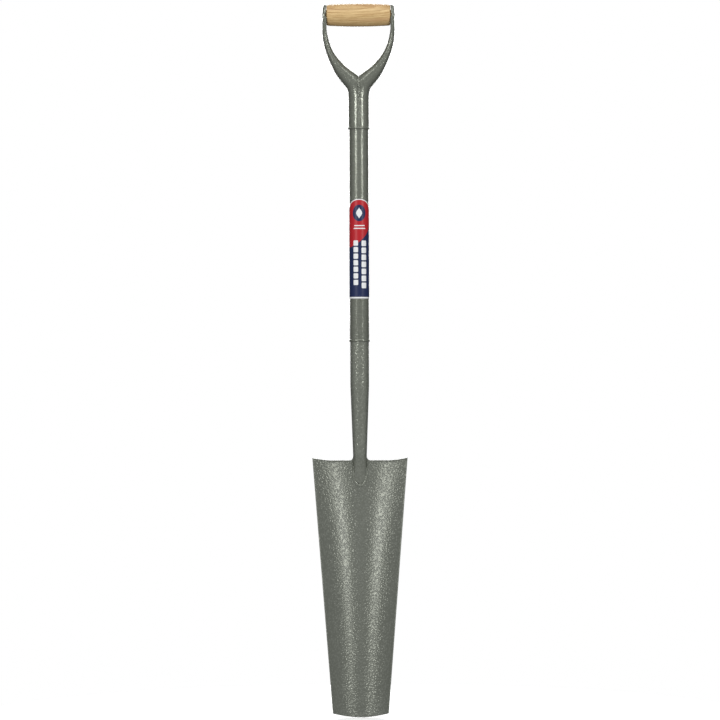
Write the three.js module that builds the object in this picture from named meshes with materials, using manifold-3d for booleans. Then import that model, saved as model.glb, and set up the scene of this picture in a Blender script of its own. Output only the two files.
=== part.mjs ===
// A steel draining spade: a long, narrow, dished blade on a tapered socket, a plain tube shaft, and a
// pressed two-piece yoke that holds a wooden barrel grip.
//
// Millimetres. +Z runs up the axis of the shaft from the tip of the cutting edge at z = 0, the working
// (hollow) face of the blade looks along -Y, and +X is to the right for someone who faces that side.
import * as THREE from 'three';
import { mergeVertices } from 'three/addons/utils/BufferGeometryUtils.js';
import Module from 'manifold-3d';

const wasm = await Module();
wasm.setup();

// ---- driving dimensions ------------------------------------------------------------------------

const gap = 0.3;               // left between pieces that touch
const roundSegments = 32;      // facets round a tube

const blade = {
  treadHeight: 403,            // flat of the top edge
  cornerHeight: 407.3,         // the top edge lifts towards its two corners
  treadHalfLength: 40,         // the top edge is flat out to here
  topHalfWidth: 74.7,
  tipHalfWidth: 43.8,
  tipArcRise: 7.4,             // the cutting edge is an arc this high
  sheet: 2.5,
  filletRadius: 6,             // where the top edge turns up to the socket
  endDish: 16.8,               // depth of the hollow at the tip and the top
  midDish: 21.4,               // and half-way up
  lift: THREE.MathUtils.degToRad(1.5),
  centreY: 4,                  // middle of the sheet at the tread, behind the shaft axis
};

const socket = {
  topHeight: 590.2,
  taperHeight: 520,            // the taper starts here and ends at neckHeight
  neckHeight: 411,
  topRadius: 14.7,
  neckRadius: 10.75,
  wall: 2.4,
  boreFloor: 432,
  frontTip: 364,               // the foot fades into the front of the blade here
  backTip: 300,                // and into the back of the blade here
};

const shaft = { bottom: 592.1, top: 923.6, radius: 15.25, wall: 2 };
const ring = { width: 4.6, root: 0.7, lowerRadius: 16.4, upperRadius: 17.5 };
const sleeve = { reach: 26, wall: 2 };
const yoke = { bottom: 925.4, stemRadius: 16.3, sheet: 1.8, seam: 0.3 };

const grip = {
  height: 1102.3,
  halfLength: 50.2,
  middleRadius: 18,
  endRadius: 16.5,
  edgeRound: 2.6,
  spigotRadius: 8,
  spigotEnd: 54.8,
  boreRadius: 4.4,
};

const rivet = { shankRadius: 4, headRadius: 7.2, headHeight: 0.9, eyeFace: 56.95 };
const label = { bottom: 657, top: 813, halfWidth: 22.6, thickness: 0.3 };

// ---- solids ------------------------------------------------------------------------------------

// Only position is kept, so that vertices shared by two faces become one.
function weld(geometry) {
  const bare = geometry.clone();
  bare.deleteAttribute('normal');
  bare.deleteAttribute('uv');
  const merged = mergeVertices(bare, 1e-4);
  return facedOut(merged);
}

// Turns a closed geometry's triangles round when they face inwards.
function facedOut(geometry) {
  const position = geometry.attributes.position;
  const index = geometry.index.array;
  const [a, b, c] = [new THREE.Vector3(), new THREE.Vector3(), new THREE.Vector3()];
  let volume = 0;
  for (let i = 0; i < index.length; i += 3) {
    a.fromBufferAttribute(position, index[i]);
    b.fromBufferAttribute(position, index[i + 1]);
    c.fromBufferAttribute(position, index[i + 2]);
    volume += a.dot(b.cross(c));
  }
  if (volume < 0) {
    for (let i = 0; i < index.length; i += 3) {
      [index[i], index[i + 1]] = [index[i + 1], index[i]];
    }
  }
  return geometry;
}

function toSolid(geometry) {
  const closed = weld(geometry);
  return new wasm.Manifold(new wasm.Mesh({
    numProp: 3,
    vertProperties: Float32Array.from(closed.attributes.position.array),
    triVerts: Uint32Array.from(closed.index.array),
  }));
}

function toGeometry(solid) {
  const { vertProperties, triVerts } = solid.getMesh();
  const geometry = new THREE.BufferGeometry();
  geometry.setAttribute('position', new THREE.BufferAttribute(vertProperties, 3));
  geometry.setIndex(new THREE.BufferAttribute(triVerts, 1));
  return geometry;
}

// A closed turned solid about Z from [radius, height] pairs.
function turned(profile, segments = roundSegments) {
  const points = profile.map(([radius, height]) => new THREE.Vector2(radius, height));
  return new THREE.LatheGeometry(points, segments).rotateX(Math.PI / 2);
}

// A tube about Z from its outer and inner profiles, both listed from the bottom up.
function tube(outer, inner) {
  return turned([...outer, ...inner.toReversed(), outer[0]]);
}

// A sheet bent to a surface. face(s, v) is the outer face, s from -1 to 1 across it and v from 0 to 1
// along it, and the sheet's other face lies thickness behind that one. A level sheet takes its
// thickness in the horizontal plane only.
function bentSheet({ across, along, face, thickness, level = false }) {
  const geometry = new THREE.BoxGeometry(2, 1, 1, across, 1, along);
  const position = geometry.attributes.position;
  const step = 1e-3;
  for (let i = 0; i < position.count; i += 1) {
    const s = position.getX(i);
    const depth = 0.5 - position.getY(i);
    const v = position.getZ(i) + 0.5;
    const alongS = face(s + step, v).sub(face(s - step, v));
    const alongV = face(s, v + step).sub(face(s, v - step));
    const normal = alongS.cross(alongV);
    if (level) {
      normal.z = 0;
    }
    const point = face(s, v).addScaledVector(normal.normalize(), -depth * thickness);
    position.setXYZ(i, point.x, point.y, point.z);
  }
  return geometry;
}

const painted = { color: 0x70736a, roughness: 0.42, metalness: 0.55 };

function piece(name, geometry, look) {
  const mesh = new THREE.Mesh(weld(geometry), new THREE.MeshStandardMaterial(look));
  mesh.name = name;
  return mesh;
}

// ---- blade -------------------------------------------------------------------------------------

function bladeHalfWidth(z) {
  const t = (z - blade.tipArcRise) / (blade.cornerHeight - blade.tipArcRise);
  return THREE.MathUtils.lerp(blade.tipHalfWidth, blade.topHalfWidth, t);
}

// The middle of the sheet on the centre line: it leans forward towards the tip by the lift.
function bladeCentreY(z) {
  return blade.centreY - (blade.treadHeight - z) * Math.tan(blade.lift);
}

function bladeY(x, z) {
  const t = z / blade.treadHeight;
  const dish = blade.endDish + 4 * (blade.midDish - blade.endDish) * t * (1 - t);
  return bladeCentreY(z) - dish * (x / bladeHalfWidth(z)) ** 2;
}

// The dished sheet before it is trimmed, a little larger than the blade all round.
function dishedSheet(thickness, across, along) {
  const spare = 3;
  const low = -spare;
  const high = blade.treadHeight + blade.filletRadius + spare;
  return bentSheet({
    across,
    along,
    thickness,
    level: true,
    face: (s, v) => {
      const z = THREE.MathUtils.lerp(low, high, v);
      const x = s * (bladeHalfWidth(z) + spare);
      return new THREE.Vector3(x, bladeY(x, z) - thickness / 2, z);
    },
  });
}

// The blade's outline, seen from the front, drawn up the right side and down the left.
function bladeOutline() {
  const { treadHeight, treadHalfLength, topHalfWidth, cornerHeight, filletRadius } = blade;
  const { tipHalfWidth, tipArcRise } = blade;
  const filletX = socket.neckRadius + filletRadius;
  const filletTop = treadHeight + filletRadius;
  const cornerControl = (treadHalfLength + topHalfWidth) / 2;
  const outline = new THREE.Shape();
  outline.moveTo(-tipHalfWidth, tipArcRise);
  outline.quadraticCurveTo(0, -tipArcRise, tipHalfWidth, tipArcRise);
  outline.lineTo(topHalfWidth, cornerHeight);
  outline.quadraticCurveTo(cornerControl, treadHeight, treadHalfLength, treadHeight);
  outline.absarc(filletX, filletTop, filletRadius, -Math.PI / 2, -Math.PI, true);
  outline.absarc(-filletX, filletTop, filletRadius, 0, -Math.PI / 2, true);
  outline.lineTo(-treadHalfLength, treadHeight);
  outline.quadraticCurveTo(-cornerControl, treadHeight, -topHalfWidth, cornerHeight);
  return outline;
}

function makeBlade() {
  const reach = 60;
  const trim = new THREE.ExtrudeGeometry(bladeOutline(), {
    depth: 2 * reach,
    bevelEnabled: false,
    curveSegments: 10,
  });
  trim.rotateX(Math.PI / 2).translate(0, reach, 0);
  const sheet = toSolid(dishedSheet(blade.sheet, 20, 16));
  return toGeometry(sheet.intersect(toSolid(trim)));
}

// ---- socket ------------------------------------------------------------------------------------

// Below the neck the round socket flattens into a front tongue and a longer back tongue, which lie on
// the two faces of the blade. Each tongue's height above its face runs out evenly to its tip.
function footLimits(z) {
  const { neckHeight, neckRadius, frontTip, backTip } = socket;
  const front = bladeCentreY(z) - blade.sheet / 2;
  const back = bladeCentreY(z) + blade.sheet / 2;
  const frontShare = Math.max(0, (z - frontTip) / (neckHeight - frontTip)) ** 1.15;
  const backShare = Math.max(0, (z - backTip) / (neckHeight - backTip)) ** 1.15;
  return {
    front: THREE.MathUtils.lerp(front, -neckRadius, frontShare),
    back: THREE.MathUtils.lerp(back, neckRadius, backShare),
  };
}

function footRadius(z) {
  const t = (socket.neckHeight - z) / (socket.neckHeight - socket.backTip);
  return socket.neckRadius * Math.sqrt(Math.max(0, 1 - t ** 3));
}

function shapeFoot(geometry) {
  const position = geometry.attributes.position;
  for (let i = 0; i < position.count; i += 1) {
    const z = position.getZ(i);
    const radius = footRadius(z);
    if (z < socket.neckHeight) {
      const { front, back } = footLimits(z);
      const share = radius > 0 ? (1 + position.getY(i) / radius) / 2 : 0.5;
      position.setY(i, THREE.MathUtils.lerp(front, back, share));
    }
  }
  return geometry;
}

// Half the width of a tongue where it meets its face of the blade.
function tongueHalfWidth(side, z) {
  const { front, back } = footLimits(z);
  const face = bladeCentreY(z) + side * blade.sheet / 2;
  const share = (2 * (face - front)) / (back - front) - 1;
  return footRadius(z) * Math.sqrt(Math.max(0, 1 - share * share));
}

function socketRadius(z) {
  const t = THREE.MathUtils.smoothstep(z, socket.neckHeight - 20, socket.taperHeight + 20);
  const linear = THREE.MathUtils.clamp(
    (z - socket.neckHeight) / (socket.taperHeight - socket.neckHeight), 0, 1);
  const share = THREE.MathUtils.lerp(linear, t, 0.15);
  return THREE.MathUtils.lerp(socket.neckRadius, socket.topRadius, share);
}

function makeSocket() {
  const { topHeight, boreFloor, wall, neckHeight, backTip } = socket;
  const footSteps = 12;
  const taperSteps = 6;
  const outer = [];
  for (let i = 0; i <= footSteps; i += 1) {
    const z = THREE.MathUtils.lerp(backTip, neckHeight, (i / footSteps) ** 1.5);
    outer.push([footRadius(z), z]);
  }
  for (let i = 1; i <= taperSteps; i += 1) {
    const z = THREE.MathUtils.lerp(neckHeight, topHeight, i / taperSteps);
    outer.push([socketRadius(z), z]);
  }
  const bore = [];
  for (let i = taperSteps; i >= 0; i -= 1) {
    const z = THREE.MathUtils.lerp(boreFloor, topHeight, i / taperSteps);
    bore.push([socketRadius(z) - wall, z]);
  }
  const blank = turned([...outer, ...bore, [0, boreFloor - wall]]);
  const slotTop = blade.treadHeight + blade.filletRadius + gap;
  const slab = new THREE.BoxGeometry(60, 60, 200).translate(0, 0, slotTop - 100);
  const slot = toSolid(dishedSheet(blade.sheet + 2 * gap, 20, 16)).intersect(toSolid(slab));
  return toGeometry(toSolid(shapeFoot(weld(blank))).subtract(slot));
}

function beadAlong(points, radius, steps) {
  const section = new THREE.Shape().absarc(0, 0, radius, 0, 2 * Math.PI);
  return new THREE.ExtrudeGeometry(section, {
    steps,
    curveSegments: 4,
    bevelEnabled: false,
    extrudePath: new THREE.CatmullRomCurve3(points),
  });
}

// A bead of weld round a tongue of the foot: down one side, round its tip and up the other. side is -1
// on the front face of the blade and 1 on the back.
function footWeld(side, tip) {
  const bead = 1.1;
  const clear = bead + 1.5 * gap;
  const turns = 20;
  const points = [];
  for (let i = 0; i <= turns; i += 1) {
    const angle = Math.PI * (i / turns);
    const sink = Math.sin(angle);
    const tongueZ = THREE.MathUtils.lerp(blade.treadHeight - 2, tip, sink);
    const x = Math.sign(Math.cos(angle)) * tongueHalfWidth(side, tongueZ) + clear * Math.cos(angle);
    const z = tongueZ - clear * sink ** 3;
    const y = bladeY(x, z) + side * (blade.sheet / 2 + clear);
    points.push(new THREE.Vector3(x, y, z));
  }
  return beadAlong(points, bead, 30);
}

// ---- shaft, sleeves and weld rings -------------------------------------------------------------

function makeShaft() {
  const { bottom, top, radius, wall } = shaft;
  return tube([[radius, bottom], [radius, top]], [[radius - wall, bottom], [radius - wall, top]]);
}

// A stepped tube that lines up two tubes inside their joint.
function jointSleeve(joint, lowerBore, upperBore) {
  const low = joint - sleeve.reach;
  const high = joint + sleeve.reach;
  const inner = Math.min(lowerBore, upperBore) - gap - sleeve.wall;
  const lower = lowerBore - gap;
  const upper = upperBore - gap;
  return tube([[lower, low], [lower, joint], [upper, joint], [upper, high]], [[inner, low], [inner, high]]);
}

// A butt weld: a root between the two tube ends and a crowned cap that stands over both of them.
function weldRing(joint, lowerRadius, upperRadius, capRadius) {
  const half = ring.width / 2;
  const rootHalf = ring.root / 2;
  const floor = Math.max(lowerRadius, upperRadius) - shaft.wall;
  const crown = (capRadius - Math.max(lowerRadius, upperRadius)) * 0.55;
  return turned([
    [floor, joint - rootHalf],
    [lowerRadius + gap, joint - rootHalf],
    [lowerRadius + gap, joint - half],
    [capRadius - crown, joint - half * 0.6],
    [capRadius, joint],
    [capRadius - crown, joint + half * 0.6],
    [upperRadius + gap, joint + half],
    [upperRadius + gap, joint + rootHalf],
    [floor, joint + rootHalf],
    [floor, joint - rootHalf],
  ]);
}

// ---- yoke --------------------------------------------------------------------------------------

// Sections up one half of the yoke, as [outer x, outer z, inner x, inner z, half depth, roll,
// squareness]. Outer and inner are the two ends of the section seen from the front. Roll is the angle
// in degrees that each side of the sheet is turned in through, and squareness is 2 for an ellipse. The
// half tube of the stem closes over the crotch into a rolled arm, which opens again into the eye, a
// shallow round cup whose rim reaches in to the end of the grip.
const yokeSections = [
  [16.3, 925.4, 0.15, 925.4, 16.3, 90, 2],
  [16.3, 950, 0.15, 950, 16.3, 90, 2],
  [16.4, 975, 0.15, 975, 16.3, 90, 2],
  [18.4, 986, 0.15, 988.5, 16.2, 96, 2],
  [22.6, 992, 0.15, 998.5, 15.9, 120, 2],
  [27.2, 997.6, 0.15, 1006, 15.4, 150, 2],
  [32.3, 1004.3, 6.5, 1012.3, 14.8, 163, 2],
  [39, 1014.6, 21.8, 1024, 13.9, 165, 2.1],
  [47.2, 1032, 35.5, 1039.7, 12.9, 165, 2.2],
  [53.7, 1050.7, 43.7, 1055, 12.5, 160, 2.2],
  [57.1, 1069, 48.5, 1071, 13.2, 142, 2.4],
  [57.5, 1086, 50.5, 1086, 15.6, 110, 3.2],
  [56.95, 1097, 50.6, 1097, 16.9, 95, 4.6],
  [56.9, 1104.5, 50.5, 1104.5, 16.8, 90, 5],
  [56.7, 1110, 50.4, 1110, 15.2, 90, 5],
  [56.1, 1115, 50.3, 1115, 11.3, 90, 4.5],
  [55.1, 1118, 50.2, 1118, 6.6, 90, 3.5],
  [54, 1119.4, 50.4, 1119.4, 1.6, 90, 2.5],
];

const yokeSpline = new THREE.CubicInterpolant(
  Float32Array.from(yokeSections.keys()),
  Float32Array.from(yokeSections.flat()),
  yokeSections[0].length,
);

function signedPower(value, power) {
  return Math.sign(value) * Math.abs(value) ** power;
}

// The yoke's outer face: s from -1 at the front edge of the sheet to 1 at its back edge, and place is
// counted in sections up the arm.
function yokeFace(side, s, place) {
  const sections = yokeSpline.evaluate(THREE.MathUtils.clamp(place, 0, yokeSections.length - 1));
  const [outerX, outerZ, innerX, innerZ, depth, roll, squareness] = sections;
  const power = 2 / squareness;
  const full = THREE.MathUtils.degToRad(roll);
  const crown = 1 - signedPower(Math.cos(full), power);
  const share = 1 - (1 - signedPower(Math.cos(full * s), power)) / crown;
  const x = THREE.MathUtils.lerp(innerX, outerX, share);
  const z = THREE.MathUtils.lerp(innerZ, outerZ, share);
  return new THREE.Vector3(side * Math.max(x, yoke.seam / 2), depth * signedPower(Math.sin(full * s), power), z);
}

function makeYokeHalf(side) {
  const sheet = bentSheet({
    across: 22,
    along: 34,
    thickness: side * yoke.sheet,
    face: (s, v) => yokeFace(side, s, v * (yokeSections.length - 1)),
  });
  const hole = new THREE.CylinderGeometry(grip.boreRadius, grip.boreRadius, 20, 24);
  hole.rotateZ(Math.PI / 2).translate(side * rivet.eyeFace, 0, grip.height);
  return toGeometry(toSolid(sheet).subtract(toSolid(hole)));
}

// A bead that follows the seam between the halves up the stem and over the crotch, in the groove that
// their rounded edges leave. side is -1 at the front and 1 at the back.
function crotchWeld(side) {
  const bead = 1.3;
  const first = 1.95;
  const last = 4.6;
  const steps = 14;
  const nudge = 0.02;
  const points = [];
  for (let i = 0; i <= steps; i += 1) {
    const place = THREE.MathUtils.lerp(first, last, i / steps);
    const edge = yokeFace(1, side, place);
    const across = yokeFace(1, side * (1 - nudge), place).sub(edge).normalize();
    const along = yokeFace(1, side, place + nudge).sub(yokeFace(1, side, place - nudge)).normalize();
    const outward = new THREE.Vector3(0, side * along.z, -side * along.y);
    edge.addScaledVector(outward, (bead + gap) / Math.max(across.x, 0.4));
    points.push(edge.setX(0));
  }
  return beadAlong(points, bead, 24);
}

// ---- grip and rivet ----------------------------------------------------------------------------

// Barrel, rounded at its two edges, with a short spigot at each end that sits in the eye.
function makeGrip() {
  const { halfLength, middleRadius, endRadius, edgeRound, spigotRadius, spigotEnd, boreRadius } = grip;
  const half = [[boreRadius, spigotEnd], [spigotRadius, spigotEnd], [spigotRadius, halfLength]];
  const roundSteps = 3;
  for (let i = 0; i <= roundSteps; i += 1) {
    const angle = (Math.PI / 2) * (i / roundSteps);
    const radius = endRadius - edgeRound * (1 - Math.sin(angle));
    half.push([radius, halfLength - edgeRound * (1 - Math.cos(angle))]);
  }
  const barrelSteps = 4;
  for (let i = 1; i < barrelSteps; i += 1) {
    const t = i / barrelSteps;
    half.push([middleRadius - (middleRadius - endRadius) * (1 - t) ** 2, (halfLength - edgeRound) * (1 - t)]);
  }
  const mirrored = half.map(([radius, z]) => [radius, -z]).reverse();
  const profile = [...half, [middleRadius, 0], ...mirrored, half[0]];
  return turned(profile).rotateY(Math.PI / 2).translate(0, 0, grip.height);
}

function makeRivet() {
  const { shankRadius, headRadius, headHeight, eyeFace } = rivet;
  const seat = eyeFace + gap;
  const half = [
    [0, seat + headHeight],
    [headRadius * 0.6, seat + headHeight * 0.8],
    [headRadius, seat + headHeight * 0.1],
    [headRadius, seat],
    [shankRadius, seat],
  ];
  const mirrored = half.map(([radius, z]) => [radius, -z]).reverse();
  return turned([...half, ...mirrored], 24).rotateY(Math.PI / 2).translate(0, 0, grip.height);
}

// ---- label -------------------------------------------------------------------------------------

// A sticker bent round the front of the tube, with a straight foot and a round top.
function makeLabel() {
  const { bottom, top, halfWidth, thickness } = label;
  const radius = shaft.radius + gap;
  return bentSheet({
    across: 20,
    along: 1,
    thickness: -thickness,
    face: (s, v) => {
      const turn = (Math.PI / 2) * THREE.MathUtils.clamp(s, -1, 1);
      const arc = halfWidth * Math.sin(turn) + (s - THREE.MathUtils.clamp(s, -1, 1));
      const height = top - halfWidth + halfWidth * Math.cos(turn);
      const angle = arc / radius;
      const z = THREE.MathUtils.lerp(bottom, height, v);
      return new THREE.Vector3(radius * Math.sin(angle), -radius * Math.cos(angle), z);
    },
  });
}

// ---- assembly ----------------------------------------------------------------------------------

const lowerJoint = (socket.topHeight + shaft.bottom) / 2;
const upperJoint = (shaft.top + yoke.bottom) / 2;
const shaftBore = shaft.radius - shaft.wall;

const spade = new THREE.Group();
spade.add(
  piece('blade', makeBlade(), painted),
  piece('blade_socket', makeSocket(), painted),
  piece('foot_weld_front', footWeld(-1, socket.frontTip), painted),
  piece('foot_weld_back', footWeld(1, socket.backTip), painted),
  piece('lower_joint_sleeve', jointSleeve(lowerJoint, socket.topRadius - socket.wall, shaftBore), painted),
  piece('lower_weld_ring', weldRing(lowerJoint, socket.topRadius, shaft.radius, ring.lowerRadius), painted),
  piece('shaft_tube', makeShaft(), painted),
  piece('upper_joint_sleeve', jointSleeve(upperJoint, shaftBore, yoke.stemRadius - yoke.sheet), painted),
  piece('upper_weld_ring', weldRing(upperJoint, shaft.radius, yoke.stemRadius, ring.upperRadius), painted),
  piece('yoke_left', makeYokeHalf(-1), painted),
  piece('yoke_right', makeYokeHalf(1), painted),
  piece('crotch_weld_front', crotchWeld(-1), painted),
  piece('crotch_weld_back', crotchWeld(1), painted),
  piece('grip', makeGrip(), { color: 0xcbac74, roughness: 0.55, metalness: 0 }),
  piece('grip_rivet', makeRivet(), { color: 0x8d9089, roughness: 0.35, metalness: 1 }),
  piece('label', makeLabel(), { color: 0x263b66, roughness: 0.4, metalness: 0 }),
);

export default spade;
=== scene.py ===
"""A steel draining spade: a long dished blade on a tapered socket, a tube shaft, and a two-piece yoke
that holds a wooden barrel grip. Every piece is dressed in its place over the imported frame.

Lengths in each section are millimetres until a mesh is made; the frame and the scene are in metres.
"""
import math

import bmesh
import bpy
import numpy as np
from mathutils import Matrix, Vector


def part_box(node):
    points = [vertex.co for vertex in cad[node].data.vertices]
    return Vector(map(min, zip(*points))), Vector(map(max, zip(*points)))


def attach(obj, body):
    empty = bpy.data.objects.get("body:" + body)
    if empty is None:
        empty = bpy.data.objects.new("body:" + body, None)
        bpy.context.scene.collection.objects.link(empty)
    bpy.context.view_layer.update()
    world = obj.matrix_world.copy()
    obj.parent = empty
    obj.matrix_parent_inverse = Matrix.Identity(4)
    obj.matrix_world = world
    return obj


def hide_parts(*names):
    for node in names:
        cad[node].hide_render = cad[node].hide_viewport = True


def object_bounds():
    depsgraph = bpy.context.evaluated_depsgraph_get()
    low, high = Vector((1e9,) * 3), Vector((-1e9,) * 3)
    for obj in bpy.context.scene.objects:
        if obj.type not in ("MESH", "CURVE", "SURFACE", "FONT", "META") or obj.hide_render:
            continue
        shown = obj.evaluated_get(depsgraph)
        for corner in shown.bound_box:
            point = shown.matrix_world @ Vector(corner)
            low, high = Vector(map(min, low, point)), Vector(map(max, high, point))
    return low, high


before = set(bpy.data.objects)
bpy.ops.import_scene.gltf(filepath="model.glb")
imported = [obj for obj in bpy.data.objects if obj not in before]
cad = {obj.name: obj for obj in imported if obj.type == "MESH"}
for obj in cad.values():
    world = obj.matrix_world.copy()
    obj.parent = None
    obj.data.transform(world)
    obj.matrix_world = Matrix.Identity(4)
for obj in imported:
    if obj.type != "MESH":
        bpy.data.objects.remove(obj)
cad_low, cad_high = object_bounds()

MM = 0.001
scene = bpy.context.scene


# ---- studio ------------------------------------------------------------------------------------
# The spade stands on its cutting edge on a small pale floor in a white surround. Two tall soft boxes
# in front, level with the handle and nearly 40 degrees to each side, put two bright lines down every tube.
# Three low, flat ones do the same for the hollow blade, and broad panels overhead and behind fill the rest.
def srgb(hex_code):
    """A colour written as sRGB hex, as the linear RGBA that a socket wants."""
    shares = [int(hex_code[i:i + 2], 16) / 255 for i in (1, 3, 5)]
    linear = [c / 12.92 if c <= 0.04045 else ((c + 0.055) / 1.055) ** 2.4 for c in shares]
    return (*linear, 1.0)


def add(tree, kind, inputs=(), **settings):
    """One node: settings are its own properties, and inputs the values of its sockets, by name or in
    order. A socket or a node among them is linked, a node by its first output."""
    made = tree.nodes.new(kind)
    for name, value in settings.items():
        setattr(made, name, value)
    values = inputs if isinstance(inputs, dict) else dict(enumerate(inputs))
    for key, value in values.items():
        if isinstance(value, bpy.types.Node):
            value = value.outputs[0]
        if isinstance(value, bpy.types.NodeSocket):
            tree.links.new(value, made.inputs[key])
        else:
            made.inputs[key].default_value = value
    return made


def new_material(name):
    """An empty material and its node tree."""
    material = bpy.data.materials.new(name)
    material.use_nodes = True
    material.node_tree.nodes.clear()
    return material, material.node_tree


def place(name, data):
    """A new object in the scene, at the origin."""
    made = bpy.data.objects.new(name, data)
    scene.collection.objects.link(made)
    return made


def soft_box(name, azimuth, elevation, distance, size, watts, aim):
    """A rectangular lamp that looks at aim; azimuth 0 is in front of the blade's working face."""
    lamp = bpy.data.lights.new(name, "AREA")
    lamp.shape = "RECTANGLE"
    lamp.size, lamp.size_y = size
    lamp.energy = watts
    box = place(name, lamp)
    turn, rise = math.radians(azimuth), math.radians(elevation)
    towards = Vector((math.sin(turn) * math.cos(rise), -math.cos(turn) * math.cos(rise), math.sin(rise)))
    box.location = aim + towards * distance
    box.rotation_euler = (-towards).to_track_quat("-Z", "Y").to_euler()
    box.visible_camera = False
    return box


height = cad_high.z - cad_low.z
middle = Vector((0.0, 0.0, height / 2))
above_grip = Vector((0.0, 0.0, 1.44))
handle_lamps = [
    soft_box("right_box", 39, 0, 2.6, (0.16, 0.7), 16, above_grip),
    soft_box("left_box", -36, 0, 2.6, (0.5, 0.7), 18, above_grip),
    soft_box("front_top_panel", 0, 36, 2.8, (2.6, 0.5), 17, above_grip),
]
soft_box("top_panel", 0, 75, 2.6, (2.2, 2.2), 11, middle)
soft_box("back_panel", 180, 25, 3.0, (2.6, 2.6), 120, middle)
blade_top = Vector((0.0, 0.0, 0.38))
blade_belly = Vector((0.0, 0.0, 0.27))
blade_lamps = [
    soft_box("right_blade_box", 28, 0, 2.6, (0.55, 0.3), 3.9, blade_top),
    soft_box("left_blade_box", -32, 0, 2.6, (0.7, 0.3), 4.5, blade_top),
    soft_box("middle_blade_box", 0, 0, 2.6, (1.2, 0.16), 0.4, blade_belly),
]

# The surround is white to the camera, and as a light it is weaker from behind than from in front.
FILL_BEHIND, FILL_IN_FRONT = 0.13, 0.5
world = bpy.data.worlds.new("white_surround")
scene.world = world
world.use_nodes = True
world.node_tree.nodes.clear()
seen = add(world.node_tree, "ShaderNodeBackground", {"Color": (1, 1, 1, 1), "Strength": 1.0})
looked = add(world.node_tree, "ShaderNodeTexCoord")
facing = add(world.node_tree, "ShaderNodeSeparateXYZ", [looked.outputs["Generated"]])
front = add(world.node_tree, "ShaderNodeMapRange", {
    "Value": facing.outputs["Y"], "From Min": 0.5, "From Max": -0.5,
    "To Min": FILL_BEHIND, "To Max": FILL_IN_FRONT}, interpolation_type="SMOOTHSTEP")
fill = add(world.node_tree, "ShaderNodeBackground", {"Color": srgb("#f4f6f8"), "Strength": front})
ray = add(world.node_tree, "ShaderNodeLightPath")
mixed = add(world.node_tree, "ShaderNodeMixShader", [ray.outputs["Is Camera Ray"], fill, seen])
add(world.node_tree, "ShaderNodeOutputWorld", {"Surface": mixed})

FLOOR_RADIUS = 0.62
FLOOR_DROP = 0.2 * MM
floor_mesh = bmesh.new()
bmesh.ops.create_circle(floor_mesh, cap_ends=True, segments=96, radius=FLOOR_RADIUS)
bmesh.ops.translate(floor_mesh, verts=floor_mesh.verts, vec=(0, 0, cad_low.z - FLOOR_DROP))
floor_data = bpy.data.meshes.new("studio_floor")
floor_mesh.to_mesh(floor_data)
floor_mesh.free()
floor = place("studio_floor", floor_data)
paper, paper_tree = new_material("matt_white_card")
card = add(paper_tree, "ShaderNodeBsdfPrincipled", {
    "Base Color": srgb("#fbfbfa"), "Roughness": 0.95,
    "Emission Color": srgb("#fbfbfa"), "Emission Strength": 0.3})
add(paper_tree, "ShaderNodeOutputMaterial", {"Surface": card})
floor_data.materials.append(paper)
floor.visible_diffuse = False
floor.visible_glossy = False

# A long lens far off, level with the middle of the spade, which leans a fifth of a degree in the frame.
FIELD = 1.0097 * height
LENS, SENSOR = 200.0, 36.0
LEAN = math.radians(0.2)
OFF_CENTRE = Vector((0.6, 0.0, 0.35)) * MM
camera_data = bpy.data.cameras.new("camera")
camera_data.lens = LENS
camera_data.sensor_width = SENSOR
camera_data.clip_end = 100.0
camera = place("camera", camera_data)
camera.location = middle + OFF_CENTRE + Vector((0.0, -FIELD * LENS / SENSOR, 0.0))
camera.rotation_euler = (math.radians(90), LEAN, 0)
scene.camera = camera
scene.view_settings.view_transform = "Standard"
scene.view_settings.look = "None"


# ---- blade -------------------------------------------------------------------------------------
# One sheet of carbon steel, hot-pressed to a long tapered trough. Its sides are straight, its top edge
# turns up into the socket, and the last few millimetres behind the cutting edge are ground thinner.
BLADE = {
    "Tread Height": 403.0,
    "Corner Height": 407.3,
    "Tread Half Length": 40.0,
    "Top Half Width": 74.7,
    "Tip Half Width": 43.8,
    "Tip Arc Rise": 7.4,
    "Sheet": 2.5,
    "Edge Round": 1.0,
    "Fillet Radius": 6.0,
    "Neck Radius": 10.75,
    "End Dish": 16.8,
    "Middle Dish": 21.4,
    "Centre Y": 4.0,
    "Ground Length": 9.0,
}
# The blade leans forward by this much for each unit down it, and its edge is ground to this share of the
# sheet. The rim's section is this share of a half circle, which keeps its slope finite.
BLADE_LIFT = math.tan(math.radians(1.5))
GROUND_SHARE = 0.45
RIM_ROUNDNESS = 0.98


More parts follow.
